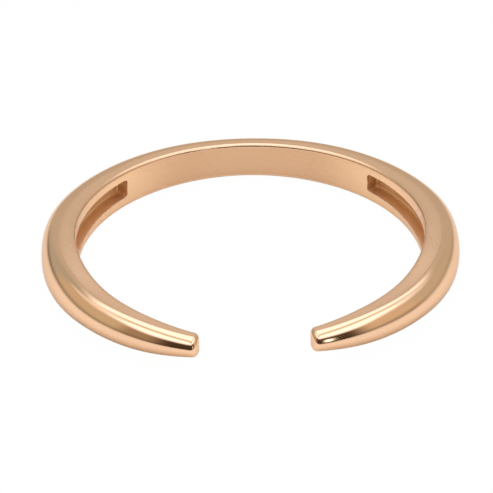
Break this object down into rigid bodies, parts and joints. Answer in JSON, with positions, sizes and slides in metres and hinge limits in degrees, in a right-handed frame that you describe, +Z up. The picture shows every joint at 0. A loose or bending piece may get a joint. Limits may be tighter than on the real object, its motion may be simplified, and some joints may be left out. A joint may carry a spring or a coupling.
{
  "type": "open cuff ring",
  "caption": "Open cuff ring: a domed metal band, tallest at its sides, that tapers to rounded tips facing each other across a gap, with pockets in its inner wall.",
  "frame": {"origin": "on the finger hole's axis, in the plane that the band's sides rest on", "axes": "+Z up along the finger hole's axis as the ring lies on its side; -Y out through the gap between the tips; +X to the right as seen from the gap"},
  "size_m": [0.0204, 0.0188, 0.0025],
  "materials": {
    "rose_gold": "polished"
  },
  "bodies": {
    "root": {"cuff": "rose_gold"}
  },
  "joints": []
}
